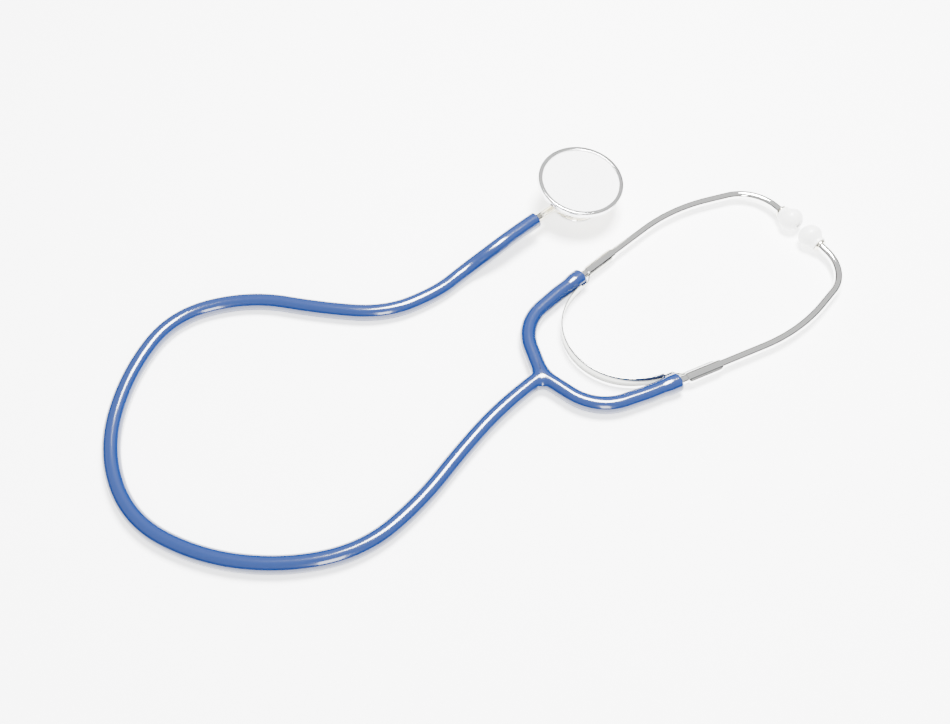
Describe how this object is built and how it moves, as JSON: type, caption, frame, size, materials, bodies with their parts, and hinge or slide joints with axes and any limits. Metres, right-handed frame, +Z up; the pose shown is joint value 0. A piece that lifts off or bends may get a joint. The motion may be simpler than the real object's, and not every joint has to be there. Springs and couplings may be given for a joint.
{
  "type": "stethoscope",
  "caption": "Acoustic stethoscope: two-sided chestpiece, soft single-bore hose with a moulded yoke, bent metal ear tubes joined by a leaf spring, and hard mushroom eartips.",
  "frame": {"origin": "middle of the base of the rigid parts' bounding box, on the table; the loose hose isn't counted", "axes": "+Y along the headset's axis from the yoke to the eartips; +Z up from the table; +X towards the right ear tube"},
  "size_m": [0.1943, 0.3984, 0.0259],
  "materials": {
    "blue_pvc": "glossy moulded soft PVC",
    "chromed_tube": "bright chrome plate on drawn tube",
    "spring_steel": "smooth rolled spring steel, plated",
    "plated_brass": "bright plate on turned brass",
    "polished_ring": "bright plate on turned and threaded ring",
    "white_diaphragm": "thin stiff plastic film, fine satin",
    "white_plastic": "hard moulded plastic",
    "black_rubber": "soft flat gasket",
    "bearing_steel": "hardened steel"
  },
  "bodies": {
    "trunk": {"hose": "blue_pvc", "yoke": "blue_pvc", "leaf_spring": "spring_steel", "stem": "plated_brass"},
    "head": {"chestpiece_body": "plated_brass", "bell_ring": "polished_ring", "diaphragm_gasket": "black_rubber", "diaphragm": "white_diaphragm", "diaphragm_ring": "polished_ring", "detent_ball": "bearing_steel", "detent_spring": "bearing_steel", "detent_screw": "bearing_steel"},
    "left_tube": {"left_branch": "blue_pvc", "left_ear_tube": "chromed_tube", "left_ferrule": "plated_brass", "left_spring_sleeve": "chromed_tube"},
    "left_tip": {"left_eartip": "white_plastic"},
    "right_tube": {"right_branch": "blue_pvc", "right_ear_tube": "chromed_tube", "right_ferrule": "plated_brass", "right_spring_sleeve": "chromed_tube"},
    "right_tip": {"right_eartip": "white_plastic"}
  },
  "joints": [
    {"name": "head_turn", "type": "hinge", "parent": "trunk", "child": "head", "pos_m": [-0.05978, 0.001, 0.01225], "axis": [0.1374, -0.9905, 0], "continuous": true},
    {"name": "left_tube_spread", "type": "hinge", "parent": "trunk", "child": "left_tube", "pos_m": [0.0024, -0.0535, 0.0052], "axis": [0, 0, 1], "range_deg": [0, 15], "stiffness_Nm_per_rad": 0.9, "deforming": ["leaf_spring", "left_branch"]},
    {"name": "left_tip_turn", "type": "hinge", "parent": "left_tube", "child": "left_tip", "pos_m": [0.0144, 0.0926, 0.00638], "axis": [0.9987, 0, 0.0513], "continuous": true},
    {"name": "right_tube_spread", "type": "hinge", "parent": "trunk", "child": "right_tube", "pos_m": [0.0564, -0.0535, 0.0052], "axis": [0, 0, -1], "range_deg": [0, 15], "stiffness_Nm_per_rad": 0.9, "deforming": ["leaf_spring", "right_branch"]},
    {"name": "right_tip_turn", "type": "hinge", "parent": "right_tube", "child": "right_tip", "pos_m": [0.0444, 0.0926, 0.00638], "axis": [-0.9987, 0, 0.0513], "continuous": true}
  ]
}
